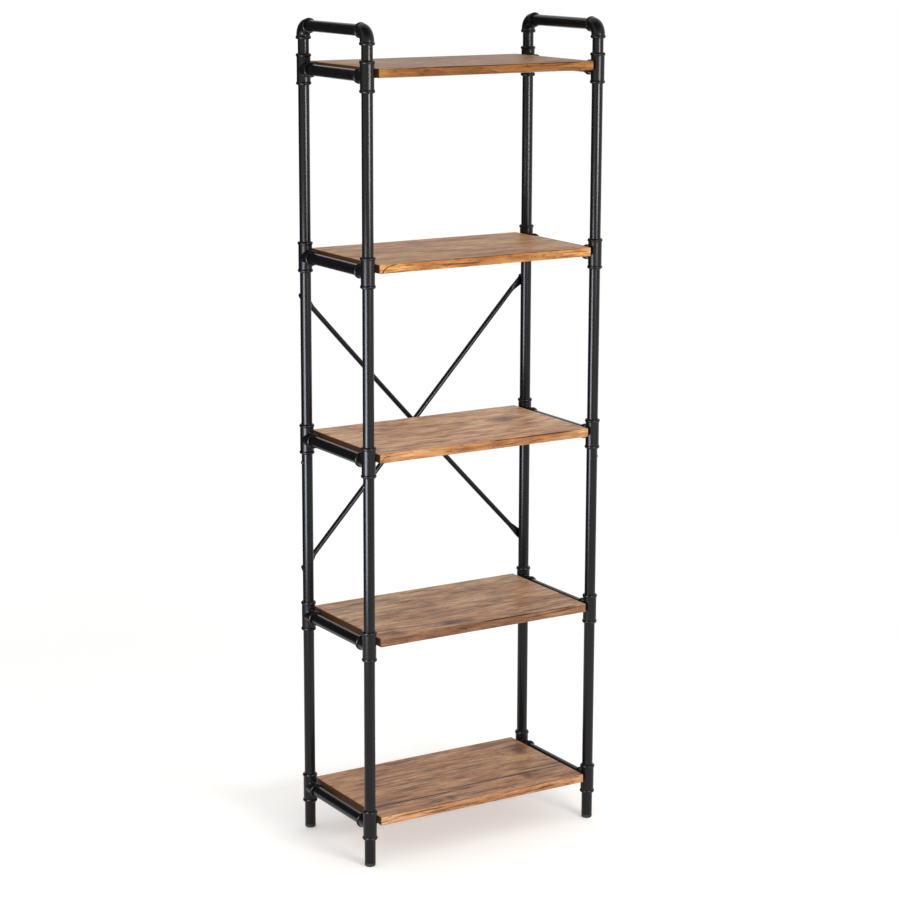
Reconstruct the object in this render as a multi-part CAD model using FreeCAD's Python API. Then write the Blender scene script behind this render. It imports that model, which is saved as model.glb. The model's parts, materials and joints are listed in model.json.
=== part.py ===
"""Pipe shelving unit: tube posts in cast fittings, side rails, five boards and a rear cross brace.

Millimetres, +Z up, +Y towards the back. The pieces are laid out around the centre of the four posts.
Each one is moved as it is written, so that the origin is on the floor at the centre of the whole unit's
footprint box.
"""
import FreeCAD
import Part
import math
import os

Vector = FreeCAD.Vector
ALONG_X = Vector(1, 0, 0)
ALONG_Y = Vector(0, 1, 0)
UP = Vector(0, 0, 1)

# ------------------------------------------------------ frame layout
# A level index counts the boards from 0 at the bottom.
POST_SPACING_X = 567.0
POST_SPACING_Y = 272.0
LEVEL_COUNT = 5
LEVEL_PITCH = 400.0
FIRST_LEVEL_HEIGHT = 94.0
HANDLE_RISE = 92.0

# ------------------------------------------------------ tube stock
TUBE_DIAMETER = 24.0
TUBE_WALL = 1.5

# ------------------------------------------------------ cast tees and elbows
RUN_BORE_CLEARANCE = 0.15
SOCKET_CLEARANCE = 0.1
FITTING_WALL = 2.65
BRANCH_WALL = 2.0
COLLAR_PROUD = 1.7
COLLAR_LIP_WALL = 2.35
COLLAR_HEIGHT = 7.0
CASTING_FILLET = 2.0
TEE_RUN_LENGTH = 66.0
TEE_BRANCH_REACH = 34.0
RAIL_TO_POST_GAP = 1.5
ELBOW_REACH = 29.0
ELBOW_STRAIGHT = 1.0
ELBOW_SOCKET_DEPTH = 15.0
ELBOW_SHOULDER = 1.5
ELBOW_END_GAP = 0.5

# ------------------------------------------------------ grub screws that lock the fittings on the tubes
GRUB_DIAMETER = 5.0
GRUB_KEY_ACROSS_FLATS = 2.5
GRUB_KEY_DEPTH = 1.2
GRUB_RECESS = 0.4
THREAD_CLEARANCE = 0.05
TEE_GRUB_DROP = 17.0

# ------------------------------------------------------ post joint: sleeve and locking screw
JOINT_LEVEL_INDEX = 2
JOINT_GAP = 0.5
SLEEVE_CLEARANCE = 0.1
SLEEVE_WALL = 1.5
SLEEVE_ABOVE_JOINT = 45.0
SLEEVE_PAST_SCREW = 27.6
JOINT_SCREW_BELOW_TEE = 19.4
JOINT_SCREW_DIAMETER = 5.0
JOINT_SCREW_PAST_SLEEVE = 2.4
JOINT_SCREW_HEAD_DIAMETER = 8.6
JOINT_SCREW_HEAD_HEIGHT = 3.0
JOINT_SCREW_HEAD_RIM = 0.9
JOINT_SCREW_KEY_ACROSS_FLATS = 3.0
JOINT_SCREW_KEY_DEPTH = 1.6
SCREW_HOLE_CLEARANCE = 0.25

# ------------------------------------------------------ feet
FOOT_CAP_HEIGHT = 8.0
FOOT_CAP_ROUNDING = 4.0
FOOT_PLUG_LENGTH = 14.0
FOOT_PLUG_CLEARANCE = 0.15
FOOT_PLUG_CHAMFER = 1.0

# ------------------------------------------------------ shelf boards
BOARD_END_GAP = 3.5
BOARD_OVERHANG = 14.0
BOARD_THICKNESS = 19.0
BOARD_TOP_ABOVE_RAIL = 16.0
BOARD_EDGE_ROUNDING = 2.0

# ------------------------------------------------------ bracket tabs under the boards, and their screws
BRACKET_END_GAP = 2.0
BRACKET_WIDTH = 30.0
BRACKET_THICKNESS = 3.0
BRACKET_UNDER_BOARD = 30.0
BRACKET_CORNER_RADIUS = 5.0
SHELF_SCREW_DIAMETER = 4.0
SHELF_SCREW_LENGTH = 16.0
SHELF_SCREW_TIP = 3.0
SHELF_SCREW_HEAD_DIAMETER = 8.4
SHELF_SCREW_HEAD_HEIGHT = 2.4
SHELF_SCREW_HEAD_RIM = 0.7
SHELF_SCREW_SLOT_WIDTH = 1.1
SHELF_SCREW_SLOT_LENGTH = 5.0
SHELF_SCREW_SLOT_DEPTH = 1.4
PILOT_EXTRA_DEPTH = 1.0

# ------------------------------------------------------ rear cross brace
BRACE_ROD_DIAMETER = 11.0
BRACE_UPPER_LEVEL_INDEX = 3
BRACE_UPPER_DROP = 87.0
BRACE_LOWER_LEVEL_INDEX = 1
BRACE_LOWER_RISE = 105.0
BRACE_TAB_WIDTH = 17.0
BRACE_TAB_THICKNESS = 3.0
BRACE_TAB_FLAT = 14.0
BRACE_TAPER_LENGTH = 24.0
BRACE_SHELF_GAP = 1.0
BRACE_CROSSING_GAP = 0.5

# ------------------------------------------------------ brace fasteners
STUD_DIAMETER = 6.0
STUD_IN_POST = 4.0
STUD_IN_NUT = 7.5
TAB_HOLE_CLEARANCE = 0.3
WASHER_DIAMETER = 12.5
WASHER_THICKNESS = 1.2
CAP_NUT_ACROSS_FLATS = 10.0
CAP_NUT_HEX_HEIGHT = 6.0
CAP_NUT_DOME_DIAMETER = 9.4
CAP_NUT_HEIGHT = 12.0
CAP_NUT_THREAD_PAST_STUD = 1.5

# ------------------------------------------------------ modelling
CUT_OVERRUN = 1.0
DIRECTION_TOLERANCE = 0.001

# ------------------------------------------------------ derived sizes
TUBE_RADIUS = TUBE_DIAMETER / 2
TUBE_BORE_RADIUS = TUBE_RADIUS - TUBE_WALL
RUN_BORE_RADIUS = TUBE_RADIUS + RUN_BORE_CLEARANCE
SOCKET_RADIUS = TUBE_RADIUS + SOCKET_CLEARANCE
BODY_RADIUS = RUN_BORE_RADIUS + FITTING_WALL
BRANCH_RADIUS = SOCKET_RADIUS + BRANCH_WALL
COLLAR_RADIUS = BODY_RADIUS + COLLAR_PROUD
LIP_RADIUS = RUN_BORE_RADIUS + COLLAR_LIP_WALL
ELBOW_BEND_RADIUS = ELBOW_REACH - COLLAR_HEIGHT - ELBOW_STRAIGHT
ELBOW_STOP = ELBOW_REACH - ELBOW_SOCKET_DEPTH
ELBOW_WATERWAY_RADIUS = TUBE_BORE_RADIUS - ELBOW_SHOULDER
BRANCH_GRUB_REACH = TEE_BRANCH_REACH - COLLAR_HEIGHT / 2
ELBOW_GRUB_REACH = ELBOW_REACH - COLLAR_HEIGHT / 2

POST_X = POST_SPACING_X / 2
POST_Y = POST_SPACING_Y / 2
POST_REAR_Y = POST_Y + TUBE_RADIUS
LEVEL_HEIGHTS = [FIRST_LEVEL_HEIGHT + LEVEL_PITCH * index for index in range(LEVEL_COUNT)]
HANDLE_HEIGHT = LEVEL_HEIGHTS[-1] + HANDLE_RISE
JOINT_HEIGHT = LEVEL_HEIGHTS[JOINT_LEVEL_INDEX]
JOINT_SCREW_HEIGHT = JOINT_HEIGHT - TEE_RUN_LENGTH / 2 - JOINT_SCREW_BELOW_TEE
JOINT_SCREW_LENGTH = TUBE_WALL + SLEEVE_CLEARANCE + SLEEVE_WALL + JOINT_SCREW_PAST_SLEEVE
SLEEVE_BOTTOM = JOINT_SCREW_HEIGHT - SLEEVE_PAST_SCREW
SLEEVE_LENGTH = JOINT_HEIGHT + SLEEVE_ABOVE_JOINT - SLEEVE_BOTTOM
SLEEVE_RADIUS = TUBE_BORE_RADIUS - SLEEVE_CLEARANCE
SLEEVE_BORE_RADIUS = SLEEVE_RADIUS - SLEEVE_WALL

BOARD_LENGTH = POST_SPACING_X - 2 * (COLLAR_RADIUS + BOARD_END_GAP)
BOARD_DEPTH = POST_SPACING_Y + 2 * BOARD_OVERHANG
BOARD_BOTTOM_BELOW_RAIL = BOARD_THICKNESS - BOARD_TOP_ABOVE_RAIL
BRACKET_BOTTOM_BELOW_RAIL = BOARD_BOTTOM_BELOW_RAIL + BRACKET_THICKNESS
BRACKET_SPACING = POST_SPACING_Y - 2 * (TEE_BRANCH_REACH + BRACKET_END_GAP) - BRACKET_WIDTH
BRACKET_INNER_X = BOARD_LENGTH / 2 - BRACKET_UNDER_BOARD
SHELF_SCREW_X = BOARD_LENGTH / 2 - BRACKET_UNDER_BOARD / 2

BRACE_UPPER_HEIGHT = LEVEL_HEIGHTS[BRACE_UPPER_LEVEL_INDEX] - BRACE_UPPER_DROP
BRACE_LOWER_HEIGHT = LEVEL_HEIGHTS[BRACE_LOWER_LEVEL_INDEX] + BRACE_LOWER_RISE
BRACE_FALL = BRACE_UPPER_HEIGHT - BRACE_LOWER_HEIGHT
BRACE_MIDDLE_HEIGHT = (BRACE_UPPER_HEIGHT + BRACE_LOWER_HEIGHT) / 2
BRACE_ANGLE = math.degrees(math.atan2(BRACE_FALL, POST_SPACING_X))
BRACE_HALF_LENGTH = math.hypot(BRACE_FALL, POST_SPACING_X) / 2
BRACE_ROD_RADIUS = BRACE_ROD_DIAMETER / 2
BRACE_ROD_Y = max(BOARD_DEPTH / 2 + BRACE_SHELF_GAP, POST_REAR_Y) + BRACE_ROD_RADIUS
BRACE_BOW = BRACE_ROD_DIAMETER + BRACE_CROSSING_GAP
CAP_NUT_SEAT = BRACE_TAB_THICKNESS + WASHER_THICKNESS

FRONT_REACH = max(POST_Y + COLLAR_RADIUS, BOARD_DEPTH / 2)
BACK_REACH = max(BRACE_ROD_Y + BRACE_BOW + BRACE_ROD_RADIUS, POST_REAR_Y + CAP_NUT_SEAT + CAP_NUT_HEIGHT)
FOOTPRINT_SHIFT_Y = (FRONT_REACH - BACK_REACH) / 2

SIDES = {"left": -1, "right": 1}
ENDS = {"front": -1, "back": 1}
CORNERS = {f"{end}_{side}": (sx, sy) for side, sx in SIDES.items() for end, sy in ENDS.items()}


# ------------------------------------------------------ shape helpers
def outline(start, *steps):
    """A closed face in the XZ plane. A step is an end point, or a pair (point on the arc, end point)."""
    here = Vector(start[0], 0, start[1])
    first = here
    edges = []
    for step in steps:
        if isinstance(step[0], tuple):
            middle, end = (Vector(x, 0, z) for x, z in step)
            edges.append(Part.Arc(here, middle, end).toShape())
        else:
            end = Vector(step[0], 0, step[1])
            edges.append(Part.LineSegment(here, end).toShape())
        here = end
    edges.append(Part.LineSegment(here, first).toShape())
    return Part.Face(Part.Wire(edges))


def turned(start, *steps):
    """A solid turned about the Z axis from an outline of (radius, height) points."""
    return outline(start, *steps).revolve(Vector(), UP, 360)


def cylinder(radius, start, direction, length):
    """A solid round bar from a start point along a direction."""
    return Part.makeCylinder(radius, length, start, direction)


def hex_prism(across_flats, height):
    """A hexagonal bar standing on the XY plane."""
    radius = across_flats / math.sqrt(3)
    turns = [math.radians(60 * step) for step in range(7)]
    corners = [Vector(radius * math.cos(turn), radius * math.sin(turn), 0) for turn in turns]
    return Part.Face(Part.makePolygon(corners)).extrude(UP * height)


def domed_disc(radius, rim, height):
    """A round disc standing on the XY plane: a straight rim, and over it a cap of a sphere."""
    rise = height - rim
    sphere_radius = (radius**2 + rise**2) / (2 * rise)
    half_angle = math.asin(radius / sphere_radius) / 2
    shoulder = (sphere_radius * math.sin(half_angle), height - sphere_radius * (1 - math.cos(half_angle)))
    return turned((0, 0), (radius, 0), (radius, rim), (shoulder, (0, height)))


def edges_along(shape, direction):
    """The edges of a box that run along a direction."""
    return [
        edge
        for edge in shape.Edges
        if edge.Curve.Direction.cross(direction).Length < DIRECTION_TOLERANCE
    ]


def placed(shape, position, direction=UP):
    """A copy whose own +Z points along a direction, moved to a position."""
    copy = shape.copy()
    copy.Placement = FreeCAD.Placement(position, FreeCAD.Rotation(UP, direction))
    return copy


def tube(start, direction, length, outer_radius=TUBE_RADIUS, inner_radius=TUBE_BORE_RADIUS):
    """A round tube from a start point along a direction."""
    bore = cylinder(inner_radius, start, direction, length)
    return cylinder(outer_radius, start, direction, length).cut(bore)


def at_each_post(make):
    """One copy of a piece at each of the four posts. make takes the signs of X and Y."""
    return Part.makeCompound([make(sx, sy) for sx, sy in CORNERS.values()])


# ------------------------------------------------------ fittings
def collar_steps(face_height, inward, body_radius):
    """Outline steps over one beaded collar, from its mouth face towards the body."""
    bead = (COLLAR_RADIUS, face_height + inward * COLLAR_HEIGHT / 2)
    end = (body_radius, face_height + inward * COLLAR_HEIGHT)
    return (LIP_RADIUS, face_height), (bead, end)


def tee_run():
    """The straight run of a tee, with a collar at each end."""
    half = TEE_RUN_LENGTH / 2
    lower = collar_steps(-half, 1, BODY_RADIUS)
    upper_arc = ((COLLAR_RADIUS, half - COLLAR_HEIGHT / 2), (LIP_RADIUS, half))
    return turned((0, -half), *lower, (BODY_RADIUS, half - COLLAR_HEIGHT), upper_arc, (0, half))


def fitting_leg(reach, body_radius, inner_end):
    """A leg with one collar, along -Z from the fitting's centre, from its inner end to its mouth."""
    collar = collar_steps(-reach, 1, body_radius)
    return turned((0, -reach), *collar, (body_radius, -inner_end), (0, -inner_end))


def grub_hole(centre, direction):
    """The tapped hole of a grub screw, from the middle of a bore out through the wall."""
    return cylinder(GRUB_DIAMETER / 2 + THREAD_CLEARANCE, centre, direction, COLLAR_RADIUS + CUT_OVERRUN)


def tee(hand):
    """A tee: run along Z, branch along +Y. The run's grub screw is on the side that hand points to
    along X, and the branch's is underneath."""
    branch = fitting_leg(TEE_BRANCH_REACH, BRANCH_RADIUS, 0)
    branch.rotate(Vector(), ALONG_X, 90)
    body = tee_run().fuse(branch).removeSplitter()
    saddle = [edge for edge in body.Edges if not isinstance(edge.Curve, (Part.Line, Part.Circle))]
    body = body.makeFillet(CASTING_FILLET, saddle)
    run_bore = cylinder(RUN_BORE_RADIUS, Vector(0, 0, -TEE_RUN_LENGTH / 2), UP, TEE_RUN_LENGTH)
    branch_bore = cylinder(SOCKET_RADIUS, Vector(), ALONG_Y, TEE_BRANCH_REACH)
    run_grub = grub_hole(Vector(0, 0, -TEE_GRUB_DROP), ALONG_X * hand)
    branch_grub = grub_hole(Vector(0, BRANCH_GRUB_REACH, 0), -UP)
    return body.cut([run_bore, branch_bore, run_grub, branch_grub])


def elbow_bend(radius):
    """A quarter bend from straight down to straight back, about the elbow's corner point."""
    centre = Vector(0, ELBOW_BEND_RADIUS, -ELBOW_BEND_RADIUS)
    ring = Part.Wire(Part.makeCircle(radius, Vector(0, 0, -ELBOW_BEND_RADIUS), UP))
    return Part.Face(ring).revolve(centre, ALONG_X, -90)


def elbow(hand):
    """An elbow with mouths facing -Z and +Y. The lower mouth's grub screw is on the side that hand points
    to along X, and the rear mouth's is underneath."""
    lower_leg = fitting_leg(ELBOW_REACH, BODY_RADIUS, ELBOW_BEND_RADIUS)
    rear_leg = lower_leg.copy()
    rear_leg.rotate(Vector(), ALONG_X, 90)
    body = elbow_bend(BODY_RADIUS).fuse([lower_leg, rear_leg]).removeSplitter()
    lower_socket = cylinder(SOCKET_RADIUS, Vector(0, 0, -ELBOW_REACH), UP, ELBOW_SOCKET_DEPTH)
    rear_socket = cylinder(SOCKET_RADIUS, Vector(0, ELBOW_STOP, 0), ALONG_Y, ELBOW_SOCKET_DEPTH)
    lower_grub = grub_hole(Vector(0, 0, -ELBOW_GRUB_REACH), ALONG_X * hand)
    rear_grub = grub_hole(Vector(0, ELBOW_GRUB_REACH, 0), -UP)
    return body.cut([lower_socket, rear_socket, elbow_bend(ELBOW_WATERWAY_RADIUS), lower_grub, rear_grub])


def at_corner(shape, sx, sy, height):
    """A fitting turned so that its branch faces the other post of its side frame."""
    copy = shape.copy()
    if sy > 0:
        copy.rotate(Vector(), UP, 180)
    copy.translate(Vector(sx * POST_X, sy * POST_Y, height))
    return copy


def grub_screw(length):
    """A grub screw along +Z from its tip, with a hexagon key hole in its outer end."""
    body = cylinder(GRUB_DIAMETER / 2, Vector(), UP, length)
    key = hex_prism(GRUB_KEY_ACROSS_FLATS, GRUB_KEY_DEPTH)
    key.translate(Vector(0, 0, length - GRUB_KEY_DEPTH))
    return body.cut(key)


def fitting_grub_screws():
    """Every grub screw. Its tip stands on a post or a rail, and its outer end is just below the surface."""
    body_grub = grub_screw(BODY_RADIUS - TUBE_RADIUS - GRUB_RECESS)
    collar_grub = grub_screw(COLLAR_RADIUS - TUBE_RADIUS - GRUB_RECESS)
    on_posts = [(body_grub, height - TEE_GRUB_DROP) for height in LEVEL_HEIGHTS]
    on_posts.append((collar_grub, HANDLE_HEIGHT - ELBOW_GRUB_REACH))
    on_rails = [(BRANCH_GRUB_REACH, height) for height in LEVEL_HEIGHTS]
    on_rails.append((ELBOW_GRUB_REACH, HANDLE_HEIGHT))
    screws = []
    for sx, sy in CORNERS.values():
        for screw, height in on_posts:
            tip = Vector(sx * (POST_X - TUBE_RADIUS), sy * POST_Y, height)
            screws.append(placed(screw, tip, ALONG_X * -sx))
        for reach, height in on_rails:
            tip = Vector(sx * POST_X, sy * (POST_Y - reach), height - TUBE_RADIUS)
            screws.append(placed(collar_grub, tip, -UP))
    return Part.makeCompound(screws)


# ------------------------------------------------------ posts and rails
def wall_hole(radius, sx, sy, height, direction):
    """A cutter through one wall of a post, from its centre outwards."""
    start = Vector(sx * POST_X, sy * POST_Y, height)
    return cylinder(radius, start, direction, TUBE_RADIUS + CUT_OVERRUN)


def stud_hole(sx, height):
    """The hole in the rear wall of a back post, where a brace stud is welded in."""
    return wall_hole(STUD_DIAMETER / 2 + THREAD_CLEARANCE, sx, 1, height, ALONG_Y)


def lower_post(sx, sy):
    """A lower post tube, from its foot cap to the joint inside the middle tee."""
    length = JOINT_HEIGHT - JOINT_GAP / 2 - FOOT_CAP_HEIGHT
    post = tube(Vector(sx * POST_X, sy * POST_Y, FOOT_CAP_HEIGHT), UP, length)
    screw_radius = JOINT_SCREW_DIAMETER / 2 + SCREW_HOLE_CLEARANCE
    post = post.cut(wall_hole(screw_radius, sx, sy, JOINT_SCREW_HEIGHT, ALONG_X * sx))
    return post.cut(stud_hole(sx, BRACE_LOWER_HEIGHT)) if sy > 0 else post


def upper_post(sx, sy):
    """An upper post tube, from the joint inside the middle tee to its stop inside the elbow."""
    bottom = JOINT_HEIGHT + JOINT_GAP / 2
    top = HANDLE_HEIGHT - ELBOW_STOP - ELBOW_END_GAP
    post = tube(Vector(sx * POST_X, sy * POST_Y, bottom), UP, top - bottom)
    return post.cut(stud_hole(sx, BRACE_UPPER_HEIGHT)) if sy > 0 else post


def cross_tube(sx, height, half_length):
    """A front-to-back tube on one side of the unit."""
    return tube(Vector(sx * POST_X, -half_length, height), ALONG_Y, 2 * half_length)


def side_rail(sx, height):
    """A side rail, with its ends in the branches of two tees."""
    return cross_tube(sx, height, POST_Y - TUBE_RADIUS - RAIL_TO_POST_GAP)


def top_rail(sx):
    """A handle rail, with its ends in two elbows."""
    return cross_tube(sx, HANDLE_HEIGHT, POST_Y - ELBOW_STOP - ELBOW_END_GAP)


def post_sleeve(sx, sy):
    """The joining sleeve inside a post, tapped for the locking screw."""
    start = Vector(sx * POST_X, sy * POST_Y, SLEEVE_BOTTOM)
    sleeve = tube(start, UP, SLEEVE_LENGTH, SLEEVE_RADIUS, SLEEVE_BORE_RADIUS)
    tapped_radius = JOINT_SCREW_DIAMETER / 2 + THREAD_CLEARANCE
    return sleeve.cut(wall_hole(tapped_radius, sx, sy, JOINT_SCREW_HEIGHT, ALONG_X * sx))


def joint_screw():
    """A button head screw: head above the XY plane, shank below it, hexagon key hole in the head."""
    head = domed_disc(JOINT_SCREW_HEAD_DIAMETER / 2, JOINT_SCREW_HEAD_RIM, JOINT_SCREW_HEAD_HEIGHT)
    shank = cylinder(JOINT_SCREW_DIAMETER / 2, Vector(0, 0, -JOINT_SCREW_LENGTH), UP, JOINT_SCREW_LENGTH)
    key = hex_prism(JOINT_SCREW_KEY_ACROSS_FLATS, JOINT_SCREW_KEY_DEPTH)
    key.translate(Vector(0, 0, JOINT_SCREW_HEAD_HEIGHT - JOINT_SCREW_KEY_DEPTH))
    return head.fuse(shank).removeSplitter().cut(key)


def placed_joint_screw(sx, sy):
    """The locking screw in the outer side of a post."""
    seat = Vector(sx * (POST_X + TUBE_RADIUS), sy * POST_Y, JOINT_SCREW_HEIGHT)
    return placed(joint_screw(), seat, ALONG_X * sx)


def foot_cap(sx, sy):
    """A glide that closes the foot of a post: a rounded cap as wide as the tube, and a plug inside it."""
    flat_radius = TUBE_RADIUS - FOOT_CAP_ROUNDING
    bend = FOOT_CAP_ROUNDING * math.sin(math.radians(45))
    corner = (flat_radius + bend, FOOT_CAP_ROUNDING - bend)
    plug_radius = TUBE_BORE_RADIUS - FOOT_PLUG_CLEARANCE
    plug_top = FOOT_CAP_HEIGHT + FOOT_PLUG_LENGTH
    cap = turned(
        (0, 0),
        (flat_radius, 0),
        (corner, (TUBE_RADIUS, FOOT_CAP_ROUNDING)),
        (TUBE_RADIUS, FOOT_CAP_HEIGHT),
        (plug_radius, FOOT_CAP_HEIGHT),
        (plug_radius, plug_top - FOOT_PLUG_CHAMFER),
        (plug_radius - FOOT_PLUG_CHAMFER, plug_top),
        (0, plug_top),
    )
    return placed(cap, Vector(sx * POST_X, sy * POST_Y, 0))


# ------------------------------------------------------ boards and what holds them
def bracket_places():
    """(X sign, Y) of the bracket tabs of one level."""
    return [(sx, sy * BRACKET_SPACING / 2) for sx in SIDES.values() for sy in ENDS.values()]


def shelf_board(height):
    """A shelf board with lightly rounded edges and a pilot hole over each bracket tab."""
    bottom = height - BOARD_BOTTOM_BELOW_RAIL
    corner = Vector(-BOARD_LENGTH / 2, -BOARD_DEPTH / 2, bottom)
    board = Part.makeBox(BOARD_LENGTH, BOARD_DEPTH, BOARD_THICKNESS, corner)
    board = board.makeFillet(BOARD_EDGE_ROUNDING, board.Edges)
    pilot_radius = SHELF_SCREW_DIAMETER / 2 + THREAD_CLEARANCE
    pilot_depth = SHELF_SCREW_LENGTH - BRACKET_THICKNESS + PILOT_EXTRA_DEPTH
    pilots = [
        cylinder(pilot_radius, Vector(sx * SHELF_SCREW_X, y, bottom), UP, pilot_depth)
        for sx, y in bracket_places()
    ]
    return board.cut(pilots)


def bracket_tab(sx, y, height):
    """A flat tab under a board's end, cut round at its outer end to fit its rail, where it is welded."""
    bottom = height - BRACKET_BOTTOM_BELOW_RAIL
    corner = Vector(BRACKET_INNER_X, -BRACKET_WIDTH / 2, bottom)
    tab = Part.makeBox(POST_X - BRACKET_INNER_X, BRACKET_WIDTH, BRACKET_THICKNESS, corner)
    inner_corners = [edge for edge in edges_along(tab, UP) if edge.CenterOfMass.x < SHELF_SCREW_X]
    tab = tab.makeFillet(BRACKET_CORNER_RADIUS, inner_corners)
    rail = cylinder(TUBE_RADIUS, Vector(POST_X, -BRACKET_WIDTH, height), ALONG_Y, 2 * BRACKET_WIDTH)
    hole_radius = SHELF_SCREW_DIAMETER / 2 + SCREW_HOLE_CLEARANCE
    hole = cylinder(hole_radius, Vector(SHELF_SCREW_X, 0, bottom), UP, BRACKET_THICKNESS)
    tab = tab.cut([rail, hole])
    if sx < 0:
        tab.rotate(Vector(), UP, 180)
    tab.translate(Vector(0, y, 0))
    return tab


def shelf_screw():
    """A pan head wood screw: head above the XY plane, pointed shank below it, cross slots in the head."""
    radius = SHELF_SCREW_DIAMETER / 2
    tip_start = SHELF_SCREW_TIP - SHELF_SCREW_LENGTH
    head = domed_disc(SHELF_SCREW_HEAD_DIAMETER / 2, SHELF_SCREW_HEAD_RIM, SHELF_SCREW_HEAD_HEIGHT)
    shank = turned((0, 0), (radius, 0), (radius, tip_start), (0, -SHELF_SCREW_LENGTH))
    screw = head.fuse(shank).removeSplitter()
    slot_floor = SHELF_SCREW_HEAD_HEIGHT - SHELF_SCREW_SLOT_DEPTH
    for size_x, size_y in (
        (SHELF_SCREW_SLOT_LENGTH, SHELF_SCREW_SLOT_WIDTH),
        (SHELF_SCREW_SLOT_WIDTH, SHELF_SCREW_SLOT_LENGTH),
    ):
        corner = Vector(-size_x / 2, -size_y / 2, slot_floor)
        screw = screw.cut(Part.makeBox(size_x, size_y, SHELF_SCREW_SLOT_DEPTH, corner))
    return screw


def shelf_brackets():
    """The bracket tabs of every level."""
    return Part.makeCompound([
        bracket_tab(sx, y, height)
        for height in LEVEL_HEIGHTS
        for sx, y in bracket_places()
    ])


def shelf_screws():
    """The wood screws of every level, driven up through the bracket tabs."""
    screw = shelf_screw()
    return Part.makeCompound([
        placed(screw, Vector(sx * SHELF_SCREW_X, y, height - BRACKET_BOTTOM_BELOW_RAIL), -UP)
        for height in LEVEL_HEIGHTS
        for sx, y in bracket_places()
    ])


# ------------------------------------------------------ rear cross brace
def four_sided_wire(corners, middles=None):
    """A closed wire through four corners in the YZ plane: straight sides, or arcs through the middles."""
    edges = []
    for index, start in enumerate(corners):
        end = corners[(index + 1) % 4]
        if middles:
            curve = Part.Arc(Vector(0, *start), Vector(0, *middles[index]), Vector(0, *end))
        else:
            curve = Part.LineSegment(Vector(0, *start), Vector(0, *end))
        edges.append(curve.toShape())
    return Part.Wire(edges)


def round_section(radius):
    """The rod's round section as four quarter arcs, each matched to one side of the flat section."""
    corner = radius * math.sin(math.radians(45))
    corners = [(corner, corner), (-corner, corner), (-corner, -corner), (corner, -corner)]
    return four_sided_wire(corners, [(0, radius), (-radius, 0), (0, -radius), (radius, 0)])


def flat_section():
    """The section of the flattened end."""
    y = BRACE_TAB_WIDTH / 2
    z = BRACE_TAB_THICKNESS / 2
    return four_sided_wire([(y, z), (-y, z), (-y, -z), (y, -z)])


def brace_tab():
    """The flattened end along +X, about its stud hole, with its front face on the XY plane."""
    radius = BRACE_TAB_WIDTH / 2
    corner = Vector(-BRACE_TAB_FLAT, -radius, 0)
    plate = Part.makeBox(BRACE_TAB_FLAT, BRACE_TAB_WIDTH, BRACE_TAB_THICKNESS, corner)
    end = cylinder(radius, Vector(), UP, BRACE_TAB_THICKNESS)
    hole = cylinder(STUD_DIAMETER / 2 + TAB_HOLE_CLEARANCE, Vector(), UP, BRACE_TAB_THICKNESS)
    return plate.fuse(end).removeSplitter().cut(hole)


def brace_bar(half_length, bow):
    """The rod's round middle along X, and the slope of its ends. A bow lifts its centre along +Z."""
    if bow == 0:
        straight = cylinder(BRACE_ROD_RADIUS, Vector(-half_length, 0, 0), ALONG_X, 2 * half_length)
        return straight, 0
    arc_radius = (half_length**2 + bow**2) / (2 * bow)
    end_slope = math.degrees(math.asin(half_length / arc_radius))
    centre = Vector(0, 0, bow - arc_radius)
    disc = Part.Face(Part.Wire(Part.makeCircle(BRACE_ROD_RADIUS, Vector(0, 0, bow), ALONG_X)))
    disc.rotate(centre, ALONG_Y, -end_slope)
    return disc.revolve(centre, ALONG_Y, 2 * end_slope), end_slope


def brace_rod(bow, leaning_up):
    """One brace rod with both flattened ends, laid from post to post behind the boards."""
    taper_start = BRACE_HALF_LENGTH - BRACE_TAB_FLAT - BRACE_TAPER_LENGTH
    rod_height = BRACE_ROD_Y - POST_REAR_Y
    bar, end_slope = brace_bar(taper_start, bow)
    bar.translate(Vector(0, 0, rod_height))
    round_end = round_section(BRACE_ROD_RADIUS)
    round_end.rotate(Vector(), ALONG_Y, end_slope)
    round_end.translate(Vector(taper_start, 0, rod_height))
    flat_end = flat_section()
    flat_end.translate(Vector(taper_start + BRACE_TAPER_LENGTH, 0, BRACE_TAB_THICKNESS / 2))
    taper = Part.makeLoft([round_end, flat_end], True)
    tab = brace_tab()
    tab.translate(Vector(BRACE_HALF_LENGTH, 0, 0))
    end = taper.fuse(tab)
    other_end = end.copy()
    other_end.rotate(Vector(), UP, 180)
    rod = bar.fuse([end, other_end])
    rod.rotate(Vector(), ALONG_X, -90)
    rod.rotate(Vector(), ALONG_Y, -BRACE_ANGLE if leaning_up else BRACE_ANGLE)
    rod.translate(Vector(0, POST_REAR_Y, BRACE_MIDDLE_HEIGHT))
    return rod


def at_each_stud(shape, distance_behind_post):
    """One copy of a fastener at each of the brace's four ends, pointing backwards."""
    return Part.makeCompound([
        placed(shape, Vector(sx * POST_X, POST_REAR_Y + distance_behind_post, height), ALONG_Y)
        for sx in SIDES.values()
        for height in (BRACE_UPPER_HEIGHT, BRACE_LOWER_HEIGHT)
    ])


def brace_studs():
    """Studs welded into the back posts, each to carry a tab, a washer and a cap nut."""
    length = STUD_IN_POST + CAP_NUT_SEAT + STUD_IN_NUT
    return at_each_stud(cylinder(STUD_DIAMETER / 2, Vector(), UP, length), -STUD_IN_POST)


def brace_washers():
    """Washers between the tabs and the cap nuts."""
    bore_radius = STUD_DIAMETER / 2 + TAB_HOLE_CLEARANCE
    washer = tube(Vector(), UP, WASHER_THICKNESS, WASHER_DIAMETER / 2, bore_radius)
    return at_each_stud(washer, BRACE_TAB_THICKNESS)


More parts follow.
